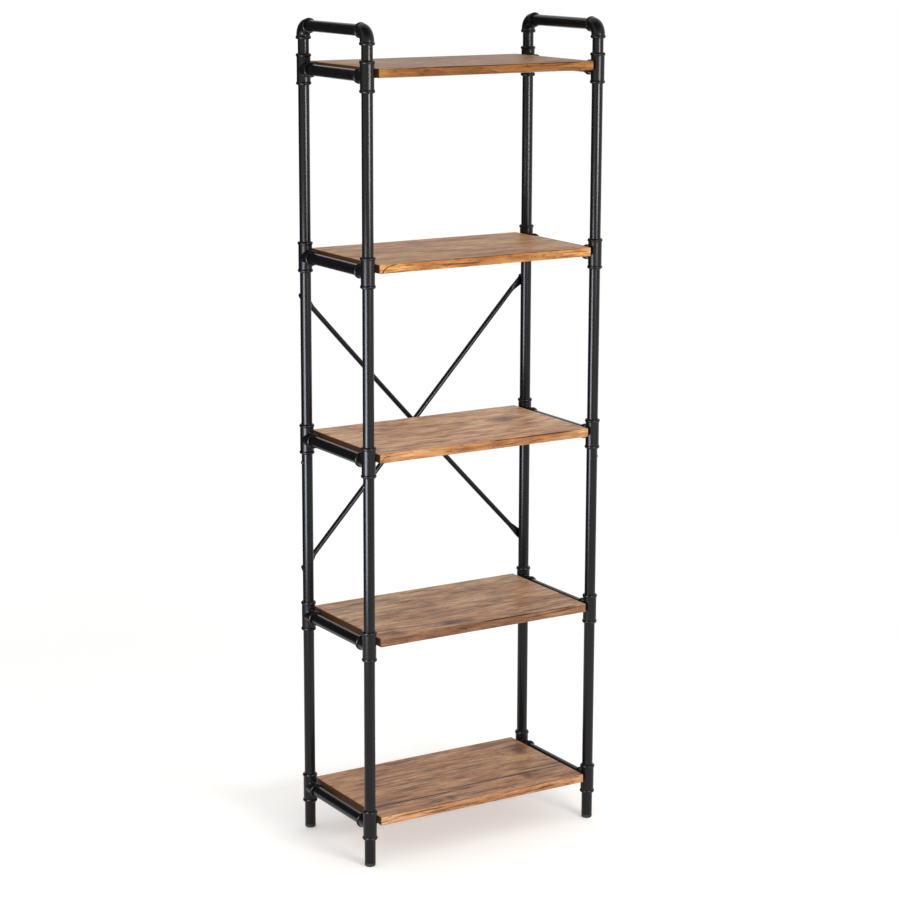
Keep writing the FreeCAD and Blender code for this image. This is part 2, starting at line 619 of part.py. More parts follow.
def brace_cap_nuts():
    """Domed cap nuts on the studs."""
    dome_radius = CAP_NUT_DOME_DIAMETER / 2
    dome = domed_disc(dome_radius, CAP_NUT_HEIGHT - dome_radius, CAP_NUT_HEIGHT)
    thread_depth = STUD_IN_NUT + CAP_NUT_THREAD_PAST_STUD
    thread = cylinder(STUD_DIAMETER / 2 + THREAD_CLEARANCE, Vector(), UP, thread_depth)
    nut = hex_prism(CAP_NUT_ACROSS_FLATS, CAP_NUT_HEX_HEIGHT).fuse(dome).cut(thread)
    return at_each_stud(nut, CAP_NUT_SEAT)


# ------------------------------------------------------ the unit
def sub_parts():
    """Every sub-part by name."""
    parts = {}
    tees = {hand: tee(hand) for hand in (-1, 1)}
    elbows = {hand: elbow(hand) for hand in (-1, 1)}
    for name, (sx, sy) in CORNERS.items():
        hand = sx * sy
        parts[f"lower_post_{name}"] = lower_post(sx, sy)
        parts[f"upper_post_{name}"] = upper_post(sx, sy)
        parts[f"elbow_{name}"] = at_corner(elbows[hand], sx, sy, HANDLE_HEIGHT)
        for level, height in enumerate(LEVEL_HEIGHTS, 1):
            parts[f"tee_{level}_{name}"] = at_corner(tees[hand], sx, sy, height)
    for name, sx in SIDES.items():
        parts[f"top_rail_{name}"] = top_rail(sx)
        for level, height in enumerate(LEVEL_HEIGHTS, 1):
            parts[f"side_rail_{level}_{name}"] = side_rail(sx, height)
    for level, height in enumerate(LEVEL_HEIGHTS, 1):
        parts[f"shelf_board_{level}"] = shelf_board(height)
    parts["shelf_brackets"] = shelf_brackets()
    parts["shelf_screws"] = shelf_screws()
    parts["fitting_grub_screws"] = fitting_grub_screws()
    parts["post_sleeves"] = at_each_post(post_sleeve)
    parts["post_joint_screws"] = at_each_post(placed_joint_screw)
    parts["foot_caps"] = at_each_post(foot_cap)
    parts["brace_rod_front"] = brace_rod(0, leaning_up=True)
    parts["brace_rod_rear"] = brace_rod(BRACE_BOW, leaning_up=False)
    parts["brace_studs"] = brace_studs()
    parts["brace_washers"] = brace_washers()
    parts["brace_cap_nuts"] = brace_cap_nuts()
    return parts


os.makedirs("parts", exist_ok=True)
for part_name, part_shape in sub_parts().items():
    part_shape.translate(Vector(0, FOOTPRINT_SHIFT_Y, 0))
    part_shape.exportStep(f"parts/{part_name}.step")
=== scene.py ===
# %% [markdown]
# # A pipe shelving unit
# Five wooden boards stand between two side frames of steel pipe. The pipe, its cast tees and elbows,
# the brackets, screws and the crossed brace at the back all come ready-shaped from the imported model.
# The lesson is about what is laid over those shapes: a powder coat on the pipe, a matt coat on the
# castings, wood on the boards, black oxide on the screws, and then the light, the floor and the camera.

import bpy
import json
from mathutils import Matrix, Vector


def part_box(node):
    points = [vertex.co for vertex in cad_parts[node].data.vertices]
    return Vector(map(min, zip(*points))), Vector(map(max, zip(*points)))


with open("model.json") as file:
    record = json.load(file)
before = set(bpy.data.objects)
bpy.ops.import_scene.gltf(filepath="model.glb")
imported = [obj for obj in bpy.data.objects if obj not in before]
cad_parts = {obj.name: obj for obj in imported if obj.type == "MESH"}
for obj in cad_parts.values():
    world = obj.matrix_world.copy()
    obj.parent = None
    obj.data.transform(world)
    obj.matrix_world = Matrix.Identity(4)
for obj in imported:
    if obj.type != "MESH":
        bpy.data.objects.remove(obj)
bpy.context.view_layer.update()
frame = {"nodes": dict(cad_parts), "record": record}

# %% Modules
import json
import math

import bpy
from mathutils import Matrix, Vector

MM = 0.001
print("Blender", bpy.app.version_string, "works in metres, and a millimetre is", MM)

# %% [markdown]
# ## Three small helpers
# Colours are written as sRGB hex values, the way a paint chart gives them, and Blender's shaders want
# linear light, so one function turns the one into the other. A second function starts a material with
# an empty node tree. The third adds any node, with its settings and its links, so that each material
# below reads from its first pattern to its last, which is the shader and then the output. Materials can
# also be drawn by hand in the shader editor, but here every number can be read, and changed in one place.
#
# Most inputs are named, or given in their order on the node. A Mix node has inputs of the same name for
# numbers, vectors and colours, so its three are given by their numbers.

# %% Helpers for colours and nodes
FACTOR, FIRST_COLOUR, SECOND_COLOUR = 0, 6, 7


def linear(hex_colour):
    """An sRGB hex colour as linear red, green, blue and alpha."""
    channels = [int(hex_colour[i : i + 2], 16) / 255 for i in (1, 3, 5)]
    return [c / 12.92 if c <= 0.04045 else ((c + 0.055) / 1.055) ** 2.4 for c in channels] + [1.0]


def start_material(name):
    """A new material and its node tree, empty."""
    material = bpy.data.materials.new(name)
    material.use_nodes = True
    material.node_tree.nodes.clear()
    return material, material.node_tree


def add(tree, kind, inputs=(), **settings):
    """Adds a node with its settings. Each input gets a value, or a link from another node: from the output
    given, or from the first one in use where the node itself is given."""
    node = tree.nodes.new("ShaderNode" + kind)
    for name, value in settings.items():
        setattr(node, name, value)
    for key, value in inputs.items() if isinstance(inputs, dict) else enumerate(inputs):
        if isinstance(value, bpy.types.Node):
            value = next(output for output in value.outputs if output.enabled)
        if isinstance(value, bpy.types.NodeSocket):
            tree.links.new(value, node.inputs[key])
        else:
            node.inputs[key].default_value = value
    return node


print("helpers ready; middle grey is", round(linear("#808080")[0], 3))

# %% [markdown]
# ## Powder coat on the pipe
# The posts, rails and brace rods are drawn steel tube and rod with a polyester powder coat, near black
# and satin. The powder melts into a skin that is never quite flat: it ripples like orange peel, a
# millimetre or two from crest to crest. That could be a displaced mesh, but it is only about a hundredth of
# a millimetre deep, so a bump does it. The ripple is drawn three times coarser than it is, so that it shows
# as a slight unevenness in the long highlights. A broader noise lets the gloss wander along the tube.
#
# Blender's noise keeps near its middle value and hardly ever reaches 0 or 1. So wherever a noise drives a
# roughness, only the part of its range that it does use is spread between the two roughnesses.

# %% Powder-coated tube
PEEL_SPACING = 5 * MM
PEEL_HEIGHT = 0.008 * MM
GLOSS_PATCH = 90 * MM
COAT_IOR = 1.5
COAT_SPECULAR = 0.23
NOISE_LOW, NOISE_HIGH = 0.3, 0.7


def powder_coat(name, deep, worn, smooth, dull):
    """Satin powder coat between two near-black colours, and between two roughnesses."""
    material, tree = start_material(name)
    place = add(tree, "TexCoord").outputs["Object"]
    patches = add(tree, "TexNoise", {"Vector": place, "Scale": 1 / GLOSS_PATCH, "Detail": 1})
    peel = add(tree, "TexNoise", {"Vector": place, "Scale": 1 / PEEL_SPACING, "Detail": 0})
    tint = {FACTOR: patches, FIRST_COLOUR: linear(deep), SECOND_COLOUR: linear(worn)}
    shader = {
        "Base Color": add(tree, "Mix", tint, data_type="RGBA"),
        "Roughness": add(tree, "MapRange", [patches, NOISE_LOW, NOISE_HIGH, smooth, dull]),
        "Normal": add(tree, "Bump", {"Height": peel, "Distance": PEEL_HEIGHT}),
        "IOR": COAT_IOR,
        "Specular IOR Level": COAT_SPECULAR,
    }
    add(tree, "OutputMaterial", [add(tree, "BsdfPrincipled", shader)])
    return material


coated_tube = powder_coat("powder_coated_steel_tube", "#0a0b0d", "#101114", smooth=0.21, dull=0.24)
coated_rod = powder_coat("powder_coated_steel_rod", "#0a0b0d", "#101114", smooth=0.25, dull=0.28)
print("made", coated_tube.name, "and", coated_rod.name)

# %% [markdown]
# ## Matt coat on the castings
# The tees and elbows are iron cast in sand, and the sand prints its grain on the skin. A thin matt
# coat blackens it without filling the grain. The coat hides every colour under it, so no rust or sand is
# drawn, and only the relief is left, as a bump that breaks the highlights up. Sand grains are about half a
# millimetre across, and they are drawn twice as coarse, so that the grain shows from a few metres away. A
# slow wave makes the coat a little uneven. The brackets are flat steel under the same coat, but duller.

# %% Coated sand-cast iron
SAND_GRAIN = 1.1 * MM
SAND_DEPTH = 0.02 * MM
CAST_WAVE = 9 * MM


def cast_coat(name, deep, worn, smooth, dull):
    """A matt coat over the grain of a sand casting."""
    material, tree = start_material(name)
    place = add(tree, "TexCoord").outputs["Object"]
    wave = add(tree, "TexNoise", {"Vector": place, "Scale": 1 / CAST_WAVE, "Detail": 4})
    grain = add(tree, "TexNoise", {"Vector": place, "Scale": 1 / SAND_GRAIN, "Detail": 3, "Roughness": 0.6})
    tint = {FACTOR: wave, FIRST_COLOUR: linear(deep), SECOND_COLOUR: linear(worn)}
    shader = {
        "Base Color": add(tree, "Mix", tint, data_type="RGBA"),
        "Roughness": add(tree, "MapRange", [grain, NOISE_LOW, NOISE_HIGH, smooth, dull]),
        "Normal": add(tree, "Bump", {"Height": grain, "Distance": SAND_DEPTH}),
        "IOR": COAT_IOR,
        "Specular IOR Level": COAT_SPECULAR,
    }
    add(tree, "OutputMaterial", [add(tree, "BsdfPrincipled", shader)])
    return material


cast_iron = cast_coat("coated_sand_cast_iron", "#0b0b0d", "#111113", smooth=0.25, dull=0.3)
flat_steel = cast_coat("coated_flat_steel", "#0b0b0d", "#121213", smooth=0.38, dull=0.5)
print("made", cast_iron.name, "and", flat_steel.name)

# %% [markdown]
# ## Black oxide on the screws
# The screws, washers and cap nuts are steel blackened in a hot salt bath and oiled: still metal, but dark.
# A metal could be coated with a second, dark layer. The film is so thin that it half lets the steel
# through, and a shader that is partly metallic gives that more simply. The crystals of the film are far too
# fine to see, so they are drawn as blotches 0.8 mm wide.

# %% Black oxide
OXIDE_GRAIN = 0.8 * MM
OXIDE_METAL = 0.6
OXIDE_SMOOTH, OXIDE_DULL = 0.3, 0.45

oxide, tree = start_material("black_oxide_steel")
place = add(tree, "TexCoord").outputs["Object"]
blotch = add(tree, "TexNoise", {"Vector": place, "Scale": 1 / OXIDE_GRAIN, "Detail": 3})
tint = {FACTOR: blotch, FIRST_COLOUR: linear("#1b1b1d"), SECOND_COLOUR: linear("#2b2a2b")}
shader = {
    "Base Color": add(tree, "Mix", tint, data_type="RGBA"),
    "Roughness": add(tree, "MapRange", [blotch, NOISE_LOW, NOISE_HIGH, OXIDE_SMOOTH, OXIDE_DULL]),
    "Metallic": OXIDE_METAL,
}
add(tree, "OutputMaterial", [add(tree, "BsdfPrincipled", shader)])
print("made", oxide.name)

# %% [markdown]
# ## Plastic feet
# The foot caps are moulded polyethylene. The mould is spark-eroded, and its pits leave the plastic with a
# soft, waxy dullness. The pits are about a tenth of a millimetre wide, and are drawn 0.9 mm wide so that they
# show. One noise makes both the pits and the slight change of colour in them.

# %% Moulded polyethylene
MOULD_TEXTURE = 0.9 * MM
MOULD_DEPTH = 0.03 * MM
PLASTIC_ROUGHNESS = 0.55

foot_plastic, tree = start_material("moulded_polyethylene")
place = add(tree, "TexCoord").outputs["Object"]
spark = add(tree, "TexNoise", {"Vector": place, "Scale": 1 / MOULD_TEXTURE, "Detail": 3})
tint = {FACTOR: spark, FIRST_COLOUR: linear("#0f0f10"), SECOND_COLOUR: linear("#1d1d1e")}
shader = {
    "Base Color": add(tree, "Mix", tint, data_type="RGBA"),
    "Roughness": PLASTIC_ROUGHNESS,
    "Normal": add(tree, "Bump", {"Height": spark, "Distance": MOULD_DEPTH}),
}
add(tree, "OutputMaterial", [add(tree, "BsdfPrincipled", shader)])
print("made", foot_plastic.name)

# %% [markdown]
# ## Plain steel inside
# The sleeves and studs inside the tubes are plain drawn steel, marked along their length by the die. A noise
# squeezed across the drawing and stretched along it gives those lines, a few times coarser than the die's.
# Nobody sees them until the unit is taken apart, and then they tell which way the bar was drawn.

# %% Drawn steel
DRAW_LINE = 0.6 * MM
DRAW_LENGTH = 40 * MM
DRAWN_ROUGHNESS = 0.35

drawn_steel, tree = start_material("drawn_steel")
place = add(tree, "TexCoord").outputs["Object"]
stretch = add(tree, "Mapping", {"Vector": place, "Scale": (1 / DRAW_LINE, 1 / DRAW_LINE, 1 / DRAW_LENGTH)})
lines = add(tree, "TexNoise", {"Vector": stretch, "Scale": 1, "Detail": 2})
tint = {FACTOR: lines, FIRST_COLOUR: linear("#8a8b8d"), SECOND_COLOUR: linear("#b4b5b6")}
shader = {
    "Base Color": add(tree, "Mix", tint, data_type="RGBA"),
    "Roughness": DRAWN_ROUGHNESS,
    "Metallic": 1,
}
add(tree, "OutputMaterial", [add(tree, "BsdfPrincipled", shader)])
print("made", drawn_steel.name)

# %% [markdown]
# ## The boards
# Each board is a fibreboard core wrapped in a wood-grain foil with a clear satin coat. The foil comes
# from a roll, so it runs over the top and round the long edges in one piece, and the ends are closed
# with a plain brown band. That is why the pattern's second coordinate is Y plus Z: at the rounded front
# edge the grain goes on down the face without a break. A scanned picture of wood could be wrapped round the
# board instead, but it is only as sharp as its scan, and five boards would show the same figure.
#
# A foil is printed: a pale wood tone first, wisps of a paler wash over it, and then inks that darken it,
# each on its own roller. The layers here are the same, except that the pale wisps are partly painted sheen,
# a whitish gleam of the satin coat laid into the colour. Each is one noise stretched along the board, and its
# length and width are the real ones wherever those would show. The pores, hair lines and flecks are half a
# millimetre wide or less on a real foil, too fine to show, and are drawn 1.5 to 6 mm wide.
#
# A layer also says at which value of its noise the ink starts, at which it is full, and how strong it is
# there. The tone only drifts, and the smudges and growth lines get their strength from their place.

# %% Layers of the print
DRIFT = {"length": 230 * MM, "width": 75 * MM, "detail": 2}
# The pale wisps are a paler wash in the print and painted sheen of the satin coat together.
WASH_AND_SHEEN_WISP = {"length": 55 * MM, "width": 6 * MM, "detail": 3, "start": 0.45, "full": 0.7, "strength": 0.6}
SMUDGE = {"length": 75 * MM, "width": 24 * MM, "detail": 5, "start": 0.45, "full": 0.65}
STREAK = {"length": 110 * MM, "width": 9 * MM, "detail": 3, "start": 0.6, "full": 0.4, "strength": 1}
FIBRE = {"length": 40 * MM, "width": 2.6 * MM, "detail": 4, "start": 0.65, "full": 0.35, "strength": 1}
HAIR = {"length": 150 * MM, "width": 5.5 * MM, "detail": 1, "start": 0.63, "full": 0.7, "strength": 0.8}
FLECK = {"length": 26 * MM, "width": 6 * MM, "detail": 2, "start": 0.6, "full": 0.7, "strength": 0.7}
PORE = {"length": 12 * MM, "width": 1.5 * MM, "detail": 1, "start": 0.6, "full": 0.75, "strength": 0.7}
GROWTH = {"length": 420 * MM, "width": 50 * MM, "detail": 3}
LAYER_ROUGHNESS = 0.6
print("streaks", STREAK["width"] / MM, "mm wide, fibres", FIBRE["width"] / MM, "mm wide")

# %% Tones and inks
WOOD_TONES = ("#e7b383", "#f9c797", "#ffdaaf")
TONE_STOPS = (0.36, 0.5, 0.64)
# The pale colour of the wisps, part print and part painted sheen.
PALE_WASH_AND_SHEEN = "#fbe6c8"
MIDDLE_INK, EDGE_INK = "#f8f2ea", "#e4e1dc"
SMUDGE_INK, STREAK_INK, FIBRE_INK = "#c0b1a6", "#d6c8ba", "#e0d5ca"
HAIR_INK, FLECK_INK, PORE_INK, GROWTH_INK = "#84664f", "#9c7e66", "#8c6e56", "#8c6a50"
KNOT_INK, RING_INK, SEAM_INK = "#8c705a", "#6a4a33", "#2e2018"
END_BAND = ("#5c3b22", "#74502f")
print("wood tones", *WOOD_TONES, "under a wash of", PALE_WASH_AND_SHEEN)


# %% One layer of the print
def stretched_noise(tree, grain, layer):
    """Noise drawn at a layer's real length and width."""
    size = add(tree, "Mapping", {"Vector": grain, "Scale": (1 / layer["length"], 1 / layer["width"], 1)})
    noise = {"Vector": size, "Scale": 1, "Detail": layer["detail"], "Roughness": LAYER_ROUGHNESS}
    return add(tree, "TexNoise", noise)


def printed_layer(tree, grain, layer, strength=None):
    """A layer's noise, and the mask that says how strongly its ink prints at each point."""
    noise = stretched_noise(tree, grain, layer)
    most = layer["strength"] if strength is None else strength
    return noise, add(tree, "MapRange", [noise, layer["start"], layer["full"], 0, most])


print("a pore is", round(PORE["length"] / PORE["width"]), "times as long as it is wide")

# %% [markdown]
# Knots, rings and plank seams are single events. A noise would strew them anywhere, so each is given its
# place. A knot bends the grain: near it the pattern's second coordinate is squeezed towards the knot's
# centre line, and the layers drawn with that coordinate flow round it.

# %% Knots that bend the grain
WANDER, WANDER_LENGTH = 9 * MM, 190 * MM
KNOT_REACH, KNOT_SQUEEZE = 3.0, 0.8


def ellipse_distance(tree, sheet, centre, half_length, half_width):
    """How far a point of the foil is from a centre, where 1 is on the ellipse."""
    away = add(tree, "VectorMath", [sheet, (*centre, 0)], operation="SUBTRACT")
    scaled = add(tree, "VectorMath", [away, (1 / half_length, 1 / half_width, 0)], operation="MULTIPLY")
    return add(tree, "VectorMath", [scaled], operation="LENGTH")


def bent_grain(tree, x, across, roll, knots):
    """The pattern's coordinates, wandering a little and squeezed at the knots."""
    sheet = add(tree, "CombineXYZ", [x, across, roll])
    wander = add(tree, "TexNoise", {"Vector": sheet, "Scale": 1 / WANDER_LENGTH, "Detail": 2})
    shift = add(tree, "MapRange", [wander, 0, 1, -WANDER, WANDER])
    bent = add(tree, "Math", [across, shift], operation="ADD")
    for knot_x, knot_y, half_length, half_width in knots:
        reach = (half_length * KNOT_REACH, half_width * KNOT_REACH)
        distance = ellipse_distance(tree, sheet, (knot_x, knot_y), *reach)
        near = add(tree, "MapRange", [distance, 1, 0, 0, KNOT_SQUEEZE])
        off_line = add(tree, "Math", [across, knot_y], operation="SUBTRACT")
        pull = add(tree, "Math", [off_line, near], operation="MULTIPLY")
        bent = add(tree, "Math", [bent, pull], operation="SUBTRACT")
    return add(tree, "CombineXYZ", [x, bent, roll])


print("a knot bends the grain out to", KNOT_REACH, "times its size")

# %% [markdown]
# A knot's ink is darkest at its centre and fades outwards. A ring is a knot that the front edge has cut
# through, and shows as one dark arc on that edge. A seam is the dark line where two printed planks meet. A
# ruled line would look laid on top of the wood, so its ink is weaker where a pale streak crosses it.

# %% Knots, rings and seams
KNOT_CORE, KNOT_RIM, KNOT_STRENGTH = 0.3, 1.8, 0.9
RING_WIDTH = 0.045
SEAM_BLUR, SEAM_FADE = 0.5 * MM, 25 * MM
SEAM_WEAK, SEAM_WHOLE, WEAK_STRENGTH = 0.66, 0.56, 0.6


def knot_mask(tree, grain, knot):
    """A dark spot that fades out past the knot's ellipse."""
    knot_x, knot_y, half_length, half_width = knot
    distance = ellipse_distance(tree, grain, (knot_x, knot_y), half_length, half_width)
    return add(tree, "MapRange", [distance, KNOT_CORE, KNOT_RIM, KNOT_STRENGTH, 0])


def ring_mask(tree, x, across, ring):
    """The left half of one growth ring, as an arc."""
    ring_x, ring_y, half_length, half_width = ring
    sheet = add(tree, "CombineXYZ", [x, across, 0])
    distance = ellipse_distance(tree, sheet, (ring_x, ring_y), half_length, half_width)
    on_ring = add(tree, "Math", [distance, 1, RING_WIDTH], operation="COMPARE")
    on_left = add(tree, "Math", [x, ring_x], operation="LESS_THAN")
    return add(tree, "Math", [on_ring, on_left], operation="MULTIPLY")


def seam_mask(tree, x, across, streaks, seam):
    """A dark line along the board that is weaker in the pale streaks, and fades out at its ends."""
    y, start, end, width, strength = seam
    side = add(tree, "Math", [across, y], operation="SUBTRACT")
    gap = add(tree, "Math", [side], operation="ABSOLUTE")
    mask = add(tree, "MapRange", [gap, width / 2 - SEAM_BLUR, width / 2 + SEAM_BLUR, strength, 0])
    weaker = add(tree, "MapRange", [streaks, SEAM_WEAK, SEAM_WHOLE, WEAK_STRENGTH, 1])
    from_start = add(tree, "MapRange", [x, start, start + SEAM_FADE])
    to_end = add(tree, "MapRange", [x, end, end - SEAM_FADE])
    for part in (weaker, from_start, to_end):
        mask = add(tree, "Math", [mask, part], operation="MULTIPLY")
    return mask


print("a seam fades out over", SEAM_FADE / MM, "mm")

# %% [markdown]
# Growth lines are the contour lines of a noise, as on a map, so they run side by side, draw together, and
# end in long loops. The noise is multiplied up, folded to and fro by ping-pong, and inked wherever a fold
# comes down to zero. A wave texture gives lines too, but they all run on side by side, and none turns back.
# The lines show inside the smudges only, as growth lines do where the wood is dark.

# %% Growth lines
GROWTH_LINES = 6
HALF_SPACING = 0.5
LINE_HALF_WIDTH, LINE_STRENGTH = 0.1, 0.7
GROWTH_START, GROWTH_FULL = 0.42, 0.6


def growth_lines(tree, grain, smudges, smudge_strength):
    """Contour lines of a broad noise, in the smudges."""
    level = add(tree, "Math", [stretched_noise(tree, grain, GROWTH), GROWTH_LINES], operation="MULTIPLY")
    off_line = add(tree, "Math", [level, HALF_SPACING], operation="PINGPONG")
    line = add(tree, "MapRange", [off_line, 0, LINE_HALF_WIDTH, LINE_STRENGTH, 0])
    in_smudge = add(tree, "MapRange", [smudges, GROWTH_START, GROWTH_FULL, 0, smudge_strength])
    return add(tree, "Math", [line, in_smudge], operation="MULTIPLY")


print(GROWTH_LINES, "growth lines from the noise's lowest value to its highest")

# %% [markdown]
# Some tints depend on the place on the board. The top and the front edge have an ink each, given board by
# board. Besides the print, these two inks hold painted light and shade: they make each board's top and front
# lighter or darker for how much light that face gets. The front edge is paler towards its ends, further in at
# one end than at the other, and the whole board is a little paler towards both ends. The smudges print more
# quietly on the front edge than on the top.

# %% Tints by place
FRONT_TURN = 2.5 * MM
END_LENGTH = 110 * MM
SMUDGE_ON_TOP, SMUDGE_ON_FRONT = 0.9, 0.4


def place_tints(tree, x, y, box, tints_and_shade, pale_ends):
    """The inks for the top, the front edge and the middle, with their masks, and the smudges' strength. The
    top and front inks hold painted light and shade as well as print.
    """
    low, high = box
    top_ink_and_shade, front_ink_and_shade = tints_and_shade
    left_end, right_end = pale_ends
    from_middle = add(tree, "Math", [x], operation="ABSOLUTE")
    on_top = add(tree, "MapRange", [y, low[1], low[1] + FRONT_TURN])
    on_front = add(tree, "MapRange", [y, low[1] + FRONT_TURN, low[1]])
    past_left = add(tree, "MapRange", [x, low[0] + left_end / 2, low[0] + left_end])
    before_right = add(tree, "MapRange", [x, high[0] - right_end / 2, high[0] - right_end])
    between = add(tree, "Math", [past_left, before_right], operation="MULTIPLY")
    inks = [
        (on_top, top_ink_and_shade),
        (on_front, front_ink_and_shade),
        (add(tree, "Math", [on_front, between], operation="MULTIPLY"), EDGE_INK),
        (add(tree, "MapRange", [from_middle, high[0], high[0] - END_LENGTH]), MIDDLE_INK),
    ]
    return inks, add(tree, "MapRange", [on_front, 0, 1, SMUDGE_ON_TOP, SMUDGE_ON_FRONT])


print("a board is paler over", END_LENGTH / MM, "mm at each end")

# %% [markdown]
# The ground of the print is the wood tone with the pale wisps over it, which are a paler wash and painted
# sheen together. The inks go over that one by one, and each multiplies what is under it, as a transparent ink
# does on paper. Last come the brown bands, on the faces that look along the board.

# %% Ground, inks and bands
END_FROM, END_TO = 0.75, 0.85


def wood_ground(tree, grain):
    """A wood tone that drifts along the board, with wisps of pale wash and painted sheen over it."""
    tone = add(tree, "ValToRGB", [stretched_noise(tree, grain, DRIFT)])
    stops = tone.color_ramp.elements
    stops.new(TONE_STOPS[1])
    for stop, position, colour in zip(stops, TONE_STOPS, WOOD_TONES):
        stop.position = position
        stop.color = linear(colour)
    _, wash_and_sheen_wisps = printed_layer(tree, grain, WASH_AND_SHEEN_WISP)
    wash_and_sheen = {FACTOR: wash_and_sheen_wisps, FIRST_COLOUR: tone, SECOND_COLOUR: linear(PALE_WASH_AND_SHEEN)}
    return add(tree, "Mix", wash_and_sheen, data_type="RGBA")


def lay_inks(tree, under, inks):
    """Multiplies the inks over the colour that is under them, each where its mask lets it print."""
    for mask, ink in inks:
        over = {FACTOR: mask, FIRST_COLOUR: under, SECOND_COLOUR: linear(ink)}
        under = add(tree, "Mix", over, data_type="RGBA", blend_type="MULTIPLY")
    return under


def close_ends(tree, normal, smudges, wood):
    """Brown bands over the wood at the board's two ends."""
    along = add(tree, "SeparateXYZ", [normal]).outputs["X"]
    on_end = add(tree, "MapRange", [add(tree, "Math", [along], operation="ABSOLUTE"), END_FROM, END_TO])
    browns = {FACTOR: smudges, FIRST_COLOUR: linear(END_BAND[0]), SECOND_COLOUR: linear(END_BAND[1])}
    band = add(tree, "Mix", browns, data_type="RGBA")
    return add(tree, "Mix", {FACTOR: on_end, FIRST_COLOUR: wood, SECOND_COLOUR: band}, data_type="RGBA")


print("bands", *END_BAND)

# %% [markdown]
# The foil's material is one function, because the five boards were cut from different lengths of the same
# roll. It collects the inks, each with the mask that says where it prints, and then lays them. The clear
# coat over them is satin, and the dark fibres are pressed into it, a little duller than the wood between.

# %% Wood-grain foil
FOIL_SPECULAR = 0.35
FOIL_RELIEF = 0.06 * MM
FOIL_DULL, FOIL_SMOOTH = 0.55, 0.42


def wood_foil(node, roll, tints_and_shade, pale_ends, knots=(), rings=(), seams=()):
    """Wood-grain foil for one board, cut at a place along the roll. The tints are the inks of its top and
    its front edge, print and painted light and shade together: they make each face lighter or darker for
    how much light it gets. The pale ends say how far in the front edge is paler, from the left and from the
    right.
    Knots and rings are (x, back, half length, half width), and seams (back, from x, to x, width, strength).
    Back is measured over the top from the top front edge, and is below 0 down the front."""
    low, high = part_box(node)
    edge = low[1] + high[2]
    knots = [(knot_x, edge + back, *half_sizes) for knot_x, back, *half_sizes in knots]
    rings = [(ring_x, edge + back, *half_sizes) for ring_x, back, *half_sizes in rings]
    seams = [(edge + back, *line) for back, *line in seams]

    material, tree = start_material(node.replace("shelf_board", "wood_grain_foil"))
    place = add(tree, "TexCoord").outputs
    x, y, z = add(tree, "SeparateXYZ", [place["Object"]]).outputs
    across = add(tree, "Math", [y, z], operation="ADD")
    grain = bent_grain(tree, x, across, roll, knots)
    inks, smudge_strength = place_tints(tree, x, y, (low, high), tints_and_shade, pale_ends)
    smudges, on_smudge = printed_layer(tree, grain, SMUDGE, smudge_strength)
    streaks, on_streak = printed_layer(tree, grain, STREAK)
    fibres, on_fibre = printed_layer(tree, grain, FIBRE)

    inks += [(on_smudge, SMUDGE_INK), (on_streak, STREAK_INK), (on_fibre, FIBRE_INK)]
    for layer, ink in ((HAIR, HAIR_INK), (FLECK, FLECK_INK), (PORE, PORE_INK)):
        _, mask = printed_layer(tree, grain, layer)
        inks.append((mask, ink))
    inks.append((growth_lines(tree, grain, smudges, smudge_strength), GROWTH_INK))
    inks += [(knot_mask(tree, grain, knot), KNOT_INK) for knot in knots]
    inks += [(ring_mask(tree, x, across, ring), RING_INK) for ring in rings]
    inks += [(seam_mask(tree, x, across, streaks, seam), SEAM_INK) for seam in seams]
    wood = lay_inks(tree, wood_ground(tree, grain), inks)

    shader = {
        "Base Color": close_ends(tree, place["Normal"], smudges, wood),
        "Roughness": add(tree, "MapRange", [fibres, NOISE_LOW, NOISE_HIGH, FOIL_DULL, FOIL_SMOOTH]),
        "Normal": add(tree, "Bump", {"Height": fibres, "Distance": FOIL_RELIEF}),
        "IOR": COAT_IOR,
        "Specular IOR Level": FOIL_SPECULAR,
    }
    add(tree, "OutputMaterial", [add(tree, "BsdfPrincipled", shader)])
    return material


print("the fibres are pressed", round(FOIL_RELIEF / MM, 3), "mm deep")

# %% [markdown]
# The bottom board shows plank seams and knots, and the boards above it a dark line along the front edge, or
# a ring where the edge cuts a knot. A real seam is about 1 mm wide, too thin to show, and is drawn 2 to 6 mm
# wide. Each board starts at its own place along the roll, so no two have the same figure.

# %% Figures of the two lower boards
# Each board's tints, for its top and its front edge, are print and painted light and shade together: they
# make that board's faces lighter or darker for the light they get.
lower_boards = {
    "shelf_board_1": {
        "roll": 3.7,
        "tints_and_shade": ("#d0c7bd", "#ddd2c9"),
        "pale_ends": (170 * MM, 30 * MM),
        "knots": (
            (0.152, 0.0555, 0.012, 0.008),
            (-0.070, 0.0235, 0.010, 0.007),
            (0.225, 0.2155, 0.020, 0.018),
        ),
        "seams": (
            (0.0605, -0.27, 0.02, 6 * MM, 1.0),
            (0.0765, -0.02, 0.27, 6 * MM, 1.0),
            (0.0245, -0.06, 0.12, 4 * MM, 0.8),
            (0.0965, 0.14, 0.27, 5 * MM, 0.8),
        ),
    },
    "shelf_board_2": {
        "roll": 7.4,
        "tints_and_shade": ("#d7d4d0", "#9f9594"),
        "pale_ends": (30 * MM, 200 * MM),
        "knots": (
            (-0.072, 0.0295, 0.024, 0.010),
            (-0.214, 0.0195, 0.020, 0.008),
        ),
        "seams": ((0.0005, -0.02, 0.24, 4 * MM, 1.0),),
    },
}
print("boards from the bottom up:", *lower_boards)

